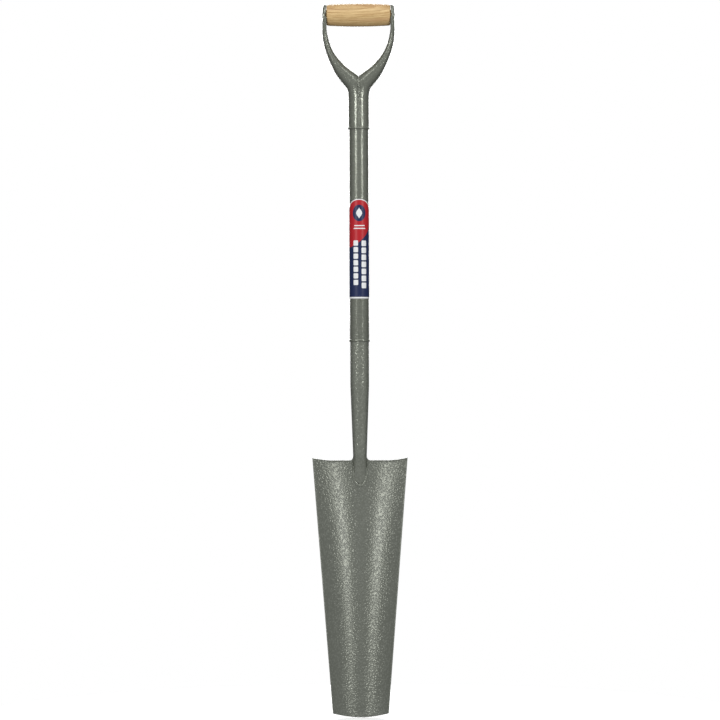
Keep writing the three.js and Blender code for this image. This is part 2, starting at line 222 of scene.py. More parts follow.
def hammered_enamel(name, pebble, relief_height, roughness, valley, crown):
    """Hammer-finish enamel, a metallic air-drying paint sprayed on steel. Silicone in it pulls the wet
    film into pebbles a few millimetres across, coarser where the coat is thick, so that a highlight
    breaks up into sparks. Aluminium flake in the grey-green binder makes it metallic; its colour is painted
    darker in the valleys between pebbles as shade and lighter on their crowns as a highlight."""
    material, tree = new_material(name)
    place_on = add(tree, "ShaderNodeTexCoord").outputs["Object"]
    drift = add(tree, "ShaderNodeTexNoise", {"Vector": place_on, "Scale": 1 / (2 * pebble), "Detail": 2.0})
    nudge = add(tree, "ShaderNodeVectorMath", [drift.outputs["Color"], (0.5, 0.5, 0.5)],
                operation="SUBTRACT")
    moved = add(tree, "ShaderNodeVectorMath", [nudge, (pebble,) * 3, place_on], operation="MULTIPLY_ADD")
    cells = add(tree, "ShaderNodeTexVoronoi", {
        "Vector": moved, "Scale": 1 / pebble, "Smoothness": 0.35, "Randomness": 1.0},
        feature="SMOOTH_F1")
    dome = add(tree, "ShaderNodeMapRange", {
        "Value": cells.outputs["Distance"], "From Min": 0.05, "From Max": 0.7,
        "To Min": 1.0, "To Max": 0.0}, interpolation_type="SMOOTHSTEP")
    fine = add(tree, "ShaderNodeTexNoise", {"Vector": place_on, "Scale": 1 / (0.9 * MM), "Detail": 3.0})
    height_sum = add(tree, "ShaderNodeMath", [fine.outputs["Fac"], 0.25, dome], operation="MULTIPLY_ADD")
    relief = add(tree, "ShaderNodeBump", {"Strength": 1.0, "Distance": relief_height, "Height": height_sum})
    clouds = add(tree, "ShaderNodeTexNoise", {"Vector": place_on, "Scale": 28.0, "Detail": 3.0})
    shade = add(tree, "ShaderNodeMath", [clouds.outputs["Fac"], 0.35, dome], operation="MULTIPLY_ADD")
    # Painted shade and highlight: the colour runs from the valley tone between pebbles to the lighter crown
    # tone on them, with random clouds of tone over it.
    colour = add(tree, "ShaderNodeValToRGB", {"Fac": shade})
    for stop, position, hex_code in zip(colour.color_ramp.elements, (0.1, 1.0), (valley, crown)):
        stop.position = position
        stop.color = srgb(hex_code)
    gloss = add(tree, "ShaderNodeMapRange", {
        "Value": fine.outputs["Fac"], "From Min": 0.3, "From Max": 0.7,
        "To Min": roughness - 0.03, "To Max": roughness + 0.04})
    paint = add(tree, "ShaderNodeBsdfPrincipled", {
        "Base Color": colour.outputs["Color"], "Metallic": 0.5, "Roughness": gloss,
        "IOR": 1.5, "Coat Weight": 0.3, "Coat Roughness": 0.2, "Normal": relief})
    add(tree, "ShaderNodeOutputMaterial", {"Surface": paint})
    return material


# The valley colour is painted shade between the pebbles, and the crown colour is a painted highlight on
# them.
thick_enamel = hammered_enamel(
    "hammered_enamel_thick_coat", 3.0 * MM, 0.21 * MM, 0.22, valley="#7f8277", crown="#919489")


def end_tree(tree, geometry, material):
    """Ends a geometry tree: smooth faces, real mesh, one material."""
    smooth = add(tree, "GeometryNodeSetShadeSmooth", {"Geometry": geometry, "Shade Smooth": True})
    real = add(tree, "GeometryNodeRealizeInstances", {"Geometry": smooth})
    finish = add(tree, "GeometryNodeSetMaterial", {"Geometry": real, "Material": material})
    add(tree, "NodeGroupOutput", {"Geometry": finish})


def blade_tree():
    """The blade as a rule: a box whose X runs across the sheet, Y through it and Z up it, each from -1
    to 1, bent to the blade's outline and hollow."""
    tree = bpy.data.node_groups.new("pressed_blade", "GeometryNodeTree")
    for name, size in BLADE.items():
        socket = tree.interface.new_socket(name, in_out="INPUT", socket_type="NodeSocketFloat")
        socket.default_value = size * MM
    for name, count in (("Columns", 141), ("Rows", 201)):
        socket = tree.interface.new_socket(name, in_out="INPUT", socket_type="NodeSocketInt")
        socket.default_value = count
    tree.interface.new_socket("Material", in_out="INPUT", socket_type="NodeSocketMaterial")
    tree.interface.new_socket("Geometry", in_out="OUTPUT", socket_type="NodeSocketGeometry")
    given = add(tree, "NodeGroupInput").outputs
    box = add(tree, "GeometryNodeMeshCube", {
        "Size": (2, 2, 2), "Vertices X": given["Columns"], "Vertices Y": 5, "Vertices Z": given["Rows"]})
    start = add(tree, "GeometryNodeInputPosition")
    axis = add(tree, "ShaderNodeSeparateXYZ", [start]).outputs

    # The edge is rounded by drawing the two faces in a little from the middle of the sheet.
    depth_square = add(tree, "ShaderNodeMath", [axis["Y"], axis["Y"]], operation="MULTIPLY")
    depth_rest = add(tree, "ShaderNodeMath", [depth_square, -RIM_ROUNDNESS, 1.0], operation="MULTIPLY_ADD")
    depth_root = add(tree, "ShaderNodeMath", [depth_rest], operation="SQRT")
    drawn = add(tree, "ShaderNodeMath", [1.0, depth_root], operation="SUBTRACT")
    inset = add(tree, "ShaderNodeMath", [drawn, given["Edge Round"]], operation="MULTIPLY")

    # Top edge: level tread, lifted corners, and a fillet up to the neck of the socket.
    side = add(tree, "ShaderNodeMath", [axis["X"]], operation="ABSOLUTE")
    top_x = add(tree, "ShaderNodeMath", [side, given["Top Half Width"]], operation="MULTIPLY")
    corner = add(tree, "ShaderNodeMapRange", {
        "Value": top_x, "From Min": given["Tread Half Length"], "From Max": given["Top Half Width"]})
    corner_square = add(tree, "ShaderNodeMath", [corner, 2.0], operation="POWER")
    corner_rise = add(tree, "ShaderNodeMath", [given["Corner Height"], given["Tread Height"]],
                      operation="SUBTRACT")
    tread = add(tree, "ShaderNodeMath", [corner_square, corner_rise, given["Tread Height"]],
                operation="MULTIPLY_ADD")
    fillet_end = add(tree, "ShaderNodeMath", [given["Neck Radius"], given["Fillet Radius"]],
                     operation="ADD")
    fillet = add(tree, "ShaderNodeMapRange", {
        "Value": top_x, "From Min": fillet_end, "From Max": given["Neck Radius"]})
    fillet_square = add(tree, "ShaderNodeMath", [fillet, 2.0], operation="POWER")
    fillet_rest = add(tree, "ShaderNodeMath", [1.0, fillet_square], operation="SUBTRACT")
    fillet_root = add(tree, "ShaderNodeMath", [fillet_rest], operation="SQRT")
    fillet_share = add(tree, "ShaderNodeMath", [1.0, fillet_root], operation="SUBTRACT")
    top = add(tree, "ShaderNodeMath", [fillet_share, given["Fillet Radius"], tread],
              operation="MULTIPLY_ADD")

    # Height, between the arched cutting edge and the top edge.
    side_square = add(tree, "ShaderNodeMath", [side, 2.0], operation="POWER")
    bottom = add(tree, "ShaderNodeMath", [side_square, given["Tip Arc Rise"]], operation="MULTIPLY")
    low = add(tree, "ShaderNodeMath", [bottom, inset], operation="ADD")
    high = add(tree, "ShaderNodeMath", [top, inset], operation="SUBTRACT")
    z = add(tree, "ShaderNodeMapRange", {
        "Value": axis["Z"], "From Min": -1.0, "From Max": 1.0, "To Min": low, "To Max": high})

    # Width, with straight sides from the tip to the corners.
    half_width = add(tree, "ShaderNodeMapRange", {
        "Value": z, "From Min": given["Tip Arc Rise"], "From Max": given["Corner Height"],
        "To Min": given["Tip Half Width"], "To Max": given["Top Half Width"]}, clamp=False)
    drawn_width = add(tree, "ShaderNodeMath", [half_width, inset], operation="SUBTRACT")
    x = add(tree, "ShaderNodeMath", [axis["X"], drawn_width], operation="MULTIPLY")

    # Hollow: a parabola across the blade, deepest half-way up, on a centre line that leans forward.
    up = add(tree, "ShaderNodeMath", [z, given["Tread Height"]], operation="DIVIDE")
    down = add(tree, "ShaderNodeMath", [1.0, up], operation="SUBTRACT")
    belly = add(tree, "ShaderNodeMath", [up, down], operation="MULTIPLY")
    belly_share = add(tree, "ShaderNodeMath", [belly, 4.0], operation="MULTIPLY")
    extra = add(tree, "ShaderNodeMath", [given["Middle Dish"], given["End Dish"]], operation="SUBTRACT")
    dish = add(tree, "ShaderNodeMath", [belly_share, extra, given["End Dish"]], operation="MULTIPLY_ADD")
    share = add(tree, "ShaderNodeMath", [x, half_width], operation="DIVIDE")
    share_square = add(tree, "ShaderNodeMath", [share, share], operation="MULTIPLY")
    hollow = add(tree, "ShaderNodeMath", [share_square, dish], operation="MULTIPLY")
    below = add(tree, "ShaderNodeMath", [given["Tread Height"], z], operation="SUBTRACT")
    centre = add(tree, "ShaderNodeMath", [below, -BLADE_LIFT, given["Centre Y"]], operation="MULTIPLY_ADD")
    middle_y = add(tree, "ShaderNodeMath", [centre, hollow], operation="SUBTRACT")

    # Thickness: square to the hollow, and ground away on the back above the cutting edge.
    fall = add(tree, "ShaderNodeMath", [dish, half_width], operation="DIVIDE")
    slope = add(tree, "ShaderNodeMath", [fall, share], operation="MULTIPLY")
    slope_square = add(tree, "ShaderNodeMath", [slope, slope], operation="MULTIPLY")
    stretch_square = add(tree, "ShaderNodeMath", [slope_square, 4.0, 1.0], operation="MULTIPLY_ADD")
    stretch = add(tree, "ShaderNodeMath", [stretch_square], operation="SQRT")
    sheet = add(tree, "ShaderNodeMath", [stretch, given["Sheet"]], operation="MULTIPLY")
    from_edge = add(tree, "ShaderNodeMath", [z, bottom], operation="SUBTRACT")
    ground = add(tree, "ShaderNodeMapRange", {
        "Value": from_edge, "From Max": given["Ground Length"], "To Min": GROUND_SHARE},
        interpolation_type="SMOOTHSTEP")
    behind = add(tree, "ShaderNodeMapRange", {
        "Value": axis["Y"], "From Min": -1.0, "From Max": 1.0, "To Max": ground})
    behind_front = add(tree, "ShaderNodeMath", [behind, 0.5], operation="SUBTRACT")
    y = add(tree, "ShaderNodeMath", [behind_front, sheet, middle_y], operation="MULTIPLY_ADD")

    bent = add(tree, "ShaderNodeCombineXYZ", {"X": x, "Y": y, "Z": z})
    pressed = add(tree, "GeometryNodeSetPosition", {"Geometry": box.outputs["Mesh"], "Position": bent})
    end_tree(tree, pressed, given["Material"])
    return tree


def made_by(name, tree, data, **values):
    """The plain mesh that a Geometry Nodes tree makes on data, with its inputs set by name."""
    holder = place(name + "_source", data)
    modifier = holder.modifiers.new(tree.name, "NODES")
    modifier.node_group = tree
    for socket in tree.interface.items_tree:
        key = socket.name.replace(" ", "_").lower()
        if socket.in_out == "INPUT" and key in values:
            modifier[socket.identifier] = values[key]
    depsgraph = bpy.context.evaluated_depsgraph_get()
    mesh = bpy.data.meshes.new_from_object(holder.evaluated_get(depsgraph), depsgraph=depsgraph)
    mesh.name = name
    bpy.data.objects.remove(holder)
    return place(name, mesh)


pressed_blade = blade_tree()
blade = made_by("blade_sheet", pressed_blade, bpy.data.meshes.new("blade_source"), material=thick_enamel)
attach(blade, "root")
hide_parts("blade")
# The low lamps light only the blade, and the handle's lamps light everything else.
lit_by_low_lamps = bpy.data.collections.new("lit_by_low_lamps")
lit_by_low_lamps.objects.link(blade)
for lamp in blade_lamps:
    lamp.light_linking.receiver_collection = lit_by_low_lamps
all_but_the_blade = bpy.data.collections.new("all_but_the_blade")
all_but_the_blade.objects.link(blade)
all_but_the_blade.collection_objects[0].light_linking.link_state = "EXCLUDE"
for lamp in handle_lamps:
    lamp.light_linking.receiver_collection = all_but_the_blade


# ---- socket ------------------------------------------------------------------------------------
# A forged steel socket: round where it meets the shaft, tapered to a neck, then split into a short
# tongue on the front of the blade and a long one on its back, with the blade's top edge between them.
SOCKET = {
    "top": 590.2,
    "taper": 520.0,
    "neck": 411.0,
    "top_radius": 14.7,
    "neck_radius": 10.75,
    "wall": 2.4,
    "bore_floor": 432.0,
    "front_tip": 364.0,
    "back_tip": 300.0,
    "rim": 0.4,
}
# The slot for the blade clears it by this much all round.
GAP = 0.3
# How gently the tongues' faces rise off the blade; how much the taper is eased, and how far past its ends.
TONGUE_CURVE = 1.15
TAPER_EASE = 0.15
TAPER_RUN_OUT = 20.0


def smoothstep(value, low, high):
    share = min(max((value - low) / (high - low), 0.0), 1.0)
    return share * share * (3 - 2 * share)


def lerp(a, b, share):
    return a + (b - a) * share


def blade_centre(z):
    return BLADE["Centre Y"] - (BLADE["Tread Height"] - z) * BLADE_LIFT


def blade_middle(x, z):
    """The middle of the blade's sheet at x and z."""
    up = z / BLADE["Tread Height"]
    dish = BLADE["End Dish"] + 4 * (BLADE["Middle Dish"] - BLADE["End Dish"]) * up * (1 - up)
    share = (z - BLADE["Tip Arc Rise"]) / (BLADE["Corner Height"] - BLADE["Tip Arc Rise"])
    return blade_centre(z) - dish * (x / lerp(BLADE["Tip Half Width"], BLADE["Top Half Width"], share)) ** 2


def foot_limits(z):
    """How far forward and back the foot reaches at height z."""
    limits = []
    for side, tip in ((-1, SOCKET["front_tip"]), (1, SOCKET["back_tip"])):
        share = max(0.0, (z - tip) / (SOCKET["neck"] - tip)) ** TONGUE_CURVE
        blade_face = blade_centre(z) + side * BLADE["Sheet"] / 2
        limits.append(lerp(blade_face, side * SOCKET["neck_radius"], share))
    return limits


def foot_radius(z):
    share = (SOCKET["neck"] - z) / (SOCKET["neck"] - SOCKET["back_tip"])
    return SOCKET["neck_radius"] * math.sqrt(max(0.0, 1 - share ** 3))


def socket_radius(z):
    eased = smoothstep(z, SOCKET["neck"] - TAPER_RUN_OUT, SOCKET["taper"] + TAPER_RUN_OUT)
    straight = min(max((z - SOCKET["neck"]) / (SOCKET["taper"] - SOCKET["neck"]), 0.0), 1.0)
    return lerp(SOCKET["neck_radius"], SOCKET["top_radius"], lerp(straight, eased, TAPER_EASE))


def loft(name, rings, closed_ends=True):
    """A closed skin over rings of points in millimetres, each ring with the same number of points. A
    ring of one point is a pole. With closed_ends false, the last ring joins the first."""
    mesh = bmesh.new()
    loops = [[mesh.verts.new(Vector(point) * MM) for point in ring] for ring in rings]
    pairs = list(zip(loops, loops[1:]))
    if not closed_ends:
        pairs.append((loops[-1], loops[0]))
    for lower, upper in pairs:
        count = max(len(lower), len(upper))
        for i in range(count):
            j = (i + 1) % count
            corners = [lower[i % len(lower)], lower[j % len(lower)]]
            corners += [upper[j % len(upper)], upper[i % len(upper)]]
            mesh.faces.new(list(dict.fromkeys(corners)))
    if closed_ends:
        for loop in (loops[0], loops[-1]):
            if len(loop) > 2:
                mesh.faces.new(loop)
    bmesh.ops.recalc_face_normals(mesh, faces=mesh.faces)
    data = bpy.data.meshes.new(name)
    mesh.to_mesh(data)
    mesh.free()
    data.polygons.foreach_set("use_smooth", [True] * len(data.polygons))
    data.set_sharp_from_angle(angle=math.radians(40))
    return place(name, data)


def circle(radius, z, count):
    """A level ring of points about the Z axis."""
    turns = [2 * math.pi * i / count for i in range(count)]
    return [(radius * math.cos(turn), radius * math.sin(turn), z) for turn in turns]


def cut(piece, cutter):
    """Takes cutter's solid out of piece for good."""
    modifier = piece.modifiers.new("cut", "BOOLEAN")
    modifier.operation = "DIFFERENCE"
    modifier.solver = "EXACT"
    modifier.object = cutter
    depsgraph = bpy.context.evaluated_depsgraph_get()
    mesh = bpy.data.meshes.new_from_object(piece.evaluated_get(depsgraph), depsgraph=depsgraph)
    piece.modifiers.clear()
    piece.data = mesh
    bpy.data.objects.remove(cutter)


def socket_rings():
    """The socket's skin, from the tip of its back tongue up the outside and down into the bore."""
    sides, foot_steps, taper_steps = 80, 70, 60
    crowding = 1.3
    top, rim, wall = SOCKET["top"], SOCKET["rim"], SOCKET["wall"]
    rings = [[(0.0, blade_centre(SOCKET["back_tip"]), SOCKET["back_tip"])]]
    for i in range(1, foot_steps + 1):
        z = lerp(SOCKET["back_tip"], SOCKET["neck"], (i / foot_steps) ** crowding)
        front, back = foot_limits(z)
        ring = circle(foot_radius(z), z, sides)
        rings.append([(x, lerp(front, back, (1 + y / foot_radius(z)) / 2), z) for x, y, z in ring])
    for i in range(1, taper_steps + 1):
        z = lerp(SOCKET["neck"], top - rim, i / taper_steps)
        rings.append(circle(socket_radius(z), z, sides))
    rings.append(circle(SOCKET["top_radius"] - rim, top, sides))
    rings.append(circle(SOCKET["top_radius"] - wall, top, sides))
    rings.append(circle(socket_radius(SOCKET["bore_floor"]) - wall, SOCKET["bore_floor"], sides))
    rings.append([(0.0, 0.0, SOCKET["bore_floor"] - wall)])
    return rings


socket = loft("tapered_socket", socket_rings())
slot = made_by(
    "socket_slot", pressed_blade, bpy.data.meshes.new("slot_source"), columns=61, rows=81,
    sheet=(BLADE["Sheet"] + 2 * GAP) * MM, tread_height=(BLADE["Tread Height"] + GAP) * MM)
cut(socket, slot)
socket.data.materials.append(thick_enamel)
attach(socket, "root")
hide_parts("blade_socket")


# ---- foot welds --------------------------------------------------------------------------------
# A thin run of arc weld closes each tongue of the socket onto its face of the blade. It is mild steel
# that solidified in small overlapping ripples, which the enamel over it softens.
def weld_bead_tree():
    """A rippled bead along any curve: Level is its full size along the level line square to the curve,
    Upright its size across that, Ripple the spacing of its ripples, and Lump how far its face rises and
    falls unevenly. Its two ends run out over Taper, unless the curve is closed."""
    tree = bpy.data.node_groups.new("weld_bead", "GeometryNodeTree")
    tree.interface.new_socket("Geometry", in_out="INPUT", socket_type="NodeSocketGeometry")
    for name in ("Level", "Upright", "Ripple", "Ripple Depth", "Lump", "Taper", "Step"):
        tree.interface.new_socket(name, in_out="INPUT", socket_type="NodeSocketFloat")
    tree.interface.new_socket("Material", in_out="INPUT", socket_type="NodeSocketMaterial")
    tree.interface.new_socket("Geometry", in_out="OUTPUT", socket_type="NodeSocketGeometry")
    given = add(tree, "NodeGroupInput").outputs
    path = add(tree, "GeometryNodeResampleCurve", {
        "Curve": given["Geometry"], "Length": given["Step"]}, mode="LENGTH")
    along = add(tree, "GeometryNodeSplineParameter").outputs["Length"]
    whole = add(tree, "GeometryNodeSplineLength").outputs["Length"]
    turns = add(tree, "ShaderNodeMath", [along, given["Ripple"]], operation="DIVIDE")
    angle = add(tree, "ShaderNodeMath", [turns, 2 * math.pi], operation="MULTIPLY")
    wave = add(tree, "ShaderNodeMath", [angle], operation="SINE")
    ripple = add(tree, "ShaderNodeMath", [wave, given["Ripple Depth"], 1.0], operation="MULTIPLY_ADD")
    left = add(tree, "ShaderNodeMath", [whole, along], operation="SUBTRACT")
    nearest = add(tree, "ShaderNodeMath", [along, left], operation="MINIMUM")
    run_out = add(tree, "ShaderNodeMapRange", {
        "Value": nearest, "From Max": given["Taper"], "To Min": 0.35}, interpolation_type="SMOOTHSTEP")
    closed = add(tree, "GeometryNodeInputSplineCyclic")
    end_share = add(tree, "ShaderNodeMath", [run_out, closed], operation="MAXIMUM")
    size = add(tree, "ShaderNodeMath", [ripple, end_share], operation="MULTIPLY")
    sized = add(tree, "GeometryNodeSetCurveRadius", {"Curve": path, "Radius": size})
    upright = add(tree, "GeometryNodeSetCurveNormal", {"Curve": sized}, mode="Z_UP")
    ring = add(tree, "GeometryNodeCurvePrimitiveCircle", {"Resolution": 24, "Radius": 0.5})
    scale = add(tree, "ShaderNodeCombineXYZ", {"X": given["Level"], "Y": given["Upright"], "Z": 1.0})
    section = add(tree, "GeometryNodeTransform", {"Geometry": ring.outputs["Curve"], "Scale": scale})
    bead = add(tree, "GeometryNodeCurveToMesh", {
        "Curve": upright, "Profile Curve": section, "Fill Caps": True})
    uneven = add(tree, "ShaderNodeTexNoise", {"Scale": 1 / (2.4 * MM), "Detail": 2.0})
    swell = add(tree, "ShaderNodeMath", [uneven.outputs["Fac"], 0.5], operation="SUBTRACT")
    rise = add(tree, "ShaderNodeMath", [swell, given["Lump"]], operation="MULTIPLY")
    outward = add(tree, "GeometryNodeInputNormal")
    shift = add(tree, "ShaderNodeVectorMath", {0: outward, "Scale": rise}, operation="SCALE")
    lumpy = add(tree, "GeometryNodeSetPosition", {"Geometry": bead, "Offset": shift})
    end_tree(tree, lumpy, given["Material"])
    return tree


weld_bead = weld_bead_tree()


def bead_path(name, points, cyclic=False):
    """A curve through points in millimetres."""
    data = bpy.data.curves.new(name, "CURVE")
    data.dimensions = "3D"
    spline = data.splines.new("POLY")
    spline.points.add(len(points) - 1)
    for made, point in zip(spline.points, points):
        made.co = (*(Vector(point) * MM), 1.0)
    spline.use_cyclic_u = cyclic
    return data


def weld(name, node, points, level, upright, ripple, depth, coat, lump=0.0, taper=2.0, cyclic=False):
    """A finished weld through points, in the place of a node. Its sizes are in millimetres, but for depth,
    which is its ripples' share of its size."""
    path = bead_path(name + "_path", points, cyclic)
    bead = made_by(name, weld_bead, path, level=level * MM, upright=upright * MM, ripple=ripple * MM,
                   ripple_depth=depth, lump=lump * MM, taper=taper * MM, step=0.25 * MM, material=coat)
    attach(bead, "root")
    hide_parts(node)


def tongue_half_width(side, z):
    """Half the width of a tongue where it meets its face of the blade; side is -1 at the front."""
    front, back = foot_limits(z)
    face = blade_centre(z) + side * BLADE["Sheet"] / 2
    share = 2 * (face - front) / (back - front) - 1
    return foot_radius(z) * math.sqrt(max(0.0, 1 - share * share))


def foot_weld_points(side, tip):
    """Down one edge of a tongue, round its tip and up the other edge."""
    half_bead = 0.9
    beside, proud = half_bead * 0.6, half_bead * 0.5
    start_below_tread = 1.5
    steps = 60
    points = []
    for i in range(steps + 1):
        angle = math.pi * i / steps
        sink = math.sin(angle)
        tongue_z = lerp(BLADE["Tread Height"] - start_below_tread, tip, sink)
        across = math.copysign(tongue_half_width(side, tongue_z), math.cos(angle))
        x = across + beside * math.cos(angle)
        z = tongue_z - half_bead * sink ** 3
        points.append((x, blade_middle(x, z) + side * (BLADE["Sheet"] / 2 + proud), z))
    return points


weld("front_foot_weld", "foot_weld_front", foot_weld_points(-1, SOCKET["front_tip"]),
     level=1.7, upright=3.6, ripple=1.7, depth=0.03, coat=thick_enamel)
weld("back_foot_weld", "foot_weld_back", foot_weld_points(1, SOCKET["back_tip"]),
     level=2.0, upright=3.0, ripple=1.7, depth=0.08, coat=thick_enamel)


# ---- shaft -------------------------------------------------------------------------------------
# A length of drawn steel tube, plain from end to end. It stops short of its neighbours at both ends,
# where the welds fill the joint, and sleeves inside keep the three tubes in line.
SHAFT = {"bottom": 592.1, "top": 923.6, "radius": 15.25, "wall": 2.0}


def tube_rings(bottom, top, radius, wall, sides=96, edge=0.3):
    """A tube's skin, up the outside and down the bore, with its outer edges eased."""
    return [
        circle(radius - edge, bottom, sides),
        circle(radius, bottom + edge, sides),
        circle(radius, top - edge, sides),
        circle(radius - edge, top, sides),
        circle(radius - wall, top, sides),
        circle(radius - wall, bottom, sides),
    ]


# The valley colour is painted shade between the pebbles, and the crown colour is a painted highlight on
# them.
enamel = hammered_enamel(
    "hammered_enamel", 2.3 * MM, 0.1 * MM, 0.21, valley="#75786d", crown="#85887d")
shaft = loft("shaft", tube_rings(**SHAFT), closed_ends=False)
shaft.data.materials.append(enamel)
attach(shaft, "root")
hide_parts("shaft_tube")


def drawn_steel():
    """Cold-drawn mild steel, left bare inside the joints: satin, with fine lines along the draw."""
    material, tree = new_material("drawn_mild_steel")
    place_on = add(tree, "ShaderNodeTexCoord").outputs["Object"]
    stretched = add(tree, "ShaderNodeMapping", {"Vector": place_on, "Scale": (1.0, 1.0, 0.03)})
    lines = add(tree, "ShaderNodeTexNoise", {"Vector": stretched, "Scale": 1 / (0.8 * MM), "Detail": 3.0})
    tone = add(tree, "ShaderNodeValToRGB", {"Fac": lines.outputs["Fac"]})
    for stop, hex_code in zip(tone.color_ramp.elements, ("#6f6c68", "#a5a29c")):
        stop.color = srgb(hex_code)
    steel = add(tree, "ShaderNodeBsdfPrincipled", {
        "Base Color": tone.outputs["Color"], "Metallic": 1.0, "Roughness": 0.42})
    add(tree, "ShaderNodeOutputMaterial", {"Surface": steel})
    return material


bare_steel = drawn_steel()
for sleeve in ("lower_joint_sleeve", "upper_joint_sleeve"):
    cad[sleeve].data.materials.clear()
    cad[sleeve].data.materials.append(bare_steel)


# ---- ring welds --------------------------------------------------------------------------------
# The two butt welds round the shaft: a narrow crowned ring at each end, turned as it was laid, so it is
# nearly even all the way round.
def ring_weld(name, node, base_radius, crown_radius, width, ripples):
    """A ring weld with so many ripples round it, which stands up to the crown's radius."""
    path_points = 240
    low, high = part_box(node)
    points = circle(base_radius, (low.z + high.z) / 2 / MM, path_points)
    weld(name, node, points, level=2 * (crown_radius - base_radius), upright=width,
         ripple=2 * math.pi * base_radius / ripples, depth=0.035, coat=enamel, cyclic=True)


ring_weld("lower_ring_weld", "lower_weld_ring",
          base_radius=15.0, crown_radius=16.35, width=4.2, ripples=34)
ring_weld("upper_ring_weld", "upper_weld_ring",
          base_radius=16.0, crown_radius=17.45, width=3.6, ripples=36)


# ---- yoke --------------------------------------------------------------------------------------
# The handle's two mirrored pressings in 1.8 mm steel, butted and welded together up the stem. Each is half
# a tube there, rolls round into a nearly closed arm above the crotch, and opens again into the eye, a
# shallow cup over the grip's end.
YOKE_SHEET = 1.8
YOKE_SEAM = 0.04
# Outer x and z, inner x and z, half depth, roll in degrees and squareness of each section.
YOKE_SECTIONS = np.array([
    [16.3, 925.4, 0.02, 925.4, 16.3, 90, 2],
    [16.3, 950, 0.02, 950, 16.3, 90, 2],
    [16.4, 975, 0.02, 975, 16.3, 90, 2],
    [18.4, 986, 0.02, 988.5, 16.2, 96, 2],
    [22.6, 992, 0.02, 998.5, 15.9, 120, 2],
    [27.2, 997.6, 0.02, 1006, 15.4, 150, 2],
    [32.3, 1004.3, 6.5, 1012.3, 14.8, 163, 2],
    [39, 1014.6, 21.8, 1024, 13.9, 165, 2.1],
    [47.2, 1032, 35.5, 1039.7, 12.9, 165, 2.2],
    [53.7, 1050.7, 43.7, 1055, 12.5, 160, 2.2],
    [57.1, 1069, 48.5, 1071, 13.2, 142, 2.4],
    [57.5, 1086, 50.5, 1086, 15.6, 110, 3.2],
    [56.95, 1097, 50.6, 1097, 16.9, 95, 4.6],
    [56.9, 1104.5, 50.5, 1104.5, 16.8, 90, 5],
    [56.7, 1110, 50.4, 1110, 15.2, 90, 5],
    [56.1, 1115, 50.3, 1115, 11.3, 90, 4.5],
    [55.1, 1118, 50.2, 1118, 6.6, 90, 3.5],
    [54, 1119.4, 50.4, 1119.4, 1.6, 90, 2.5],
])
YOKE_LAST = len(YOKE_SECTIONS) - 1


def yoke_section(up):
    """The section so many rows up the list, on a Catmull-Rom curve through the sections."""
    up = min(max(up, 0.0), YOKE_LAST)
    first = min(int(up), YOKE_LAST - 1)
    before = YOKE_SECTIONS[abs(first - 1)]
    after = YOKE_SECTIONS[first + 2 if first + 2 <= YOKE_LAST else YOKE_LAST - 1]
    start, end = YOKE_SECTIONS[first], YOKE_SECTIONS[first + 1]
    t = up - first
    leave, arrive = (end - before) / 2, (after - start) / 2
    return ((2 * t ** 3 - 3 * t ** 2 + 1) * start + (t ** 3 - 2 * t ** 2 + t) * leave
            + (3 * t ** 2 - 2 * t ** 3) * end + (t ** 3 - t ** 2) * arrive)


def signed_power(value, power):
    return math.copysign(abs(value) ** power, value)


def yoke_face(s, up):
    """The right half's outer face: s from -1 at the front edge of the sheet to 1 at the back one."""
    outer_x, outer_z, inner_x, inner_z, depth, roll, squareness = yoke_section(up)
    power = 2 / squareness
    full = math.radians(roll)
    crown = 1 - signed_power(math.cos(full), power)
    share = 1 - (1 - signed_power(math.cos(full * s), power)) / crown
    x = max(lerp(inner_x, outer_x, share), YOKE_SEAM / 2)
    return np.array([x, depth * signed_power(math.sin(full * s), power), lerp(inner_z, outer_z, share)])


def yoke_normal(s, up):
    step = 1e-3
    across = yoke_face(s + step, up) - yoke_face(s - step, up)
    along = yoke_face(s, up + step) - yoke_face(s, up - step)
    normal = np.cross(across, along)
    return normal / max(np.linalg.norm(normal), 1e-12)


def yoke_ring(up):
    """The sheet's section: its outer face, a rounded back edge, its inner face and a rounded front."""
    columns = 56
    nose_steps = 5
    edge = 0.965
    half = YOKE_SHEET / 2
    spots = [edge * (2 * i / columns - 1) for i in range(columns + 1)]
    outer = [yoke_face(s, up) for s in spots]
    normals = [yoke_normal(s, up) for s in spots]
    inner = [point - normal * YOKE_SHEET for point, normal in zip(outer, normals)]

    def nose(index, neighbour):
        middle_point = (outer[index] + inner[index]) / 2
        away = outer[index] - outer[neighbour]
        away = away / max(np.linalg.norm(away), 1e-9)
        turns = [math.pi * step / nose_steps for step in range(1, nose_steps)]
        return [middle_point + half * (normals[index] * math.cos(turn) + away * math.sin(turn))
                for turn in turns]

    return [*outer, *nose(-1, -2), *inner[::-1], *nose(0, 1)[::-1]]


grip_low, grip_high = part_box("grip")
grip_height = Matrix.Translation((0, 0, (grip_low.z + grip_high.z) / 2))


def yoke_half(name, side):
    """One pressing, bored for the rivet: side is -1 for the left half and 1 for the right."""
    steps = 11 * YOKE_LAST
    hole_radius, hole_from, hole_to = 4.4, 30.0, 80.0
    rings = [yoke_ring(YOKE_LAST * i / steps) for i in range(steps + 1)]
    half = loft(name, [[(side * x, y, z) for x, y, z in ring] for ring in rings])
    hole = loft("rivet_hole", [circle(hole_radius, z, 32) for z in (hole_from, hole_to)])
    hole.data.transform(grip_height @ Matrix.Rotation(side * math.pi / 2, 4, "Y"))
    cut(half, hole)
    half.data.materials.append(enamel)
    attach(half, "root")
    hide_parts("yoke_left" if side < 0 else "yoke_right")


yoke_half("yoke_pressing_left", -1)
yoke_half("yoke_pressing_right", 1)


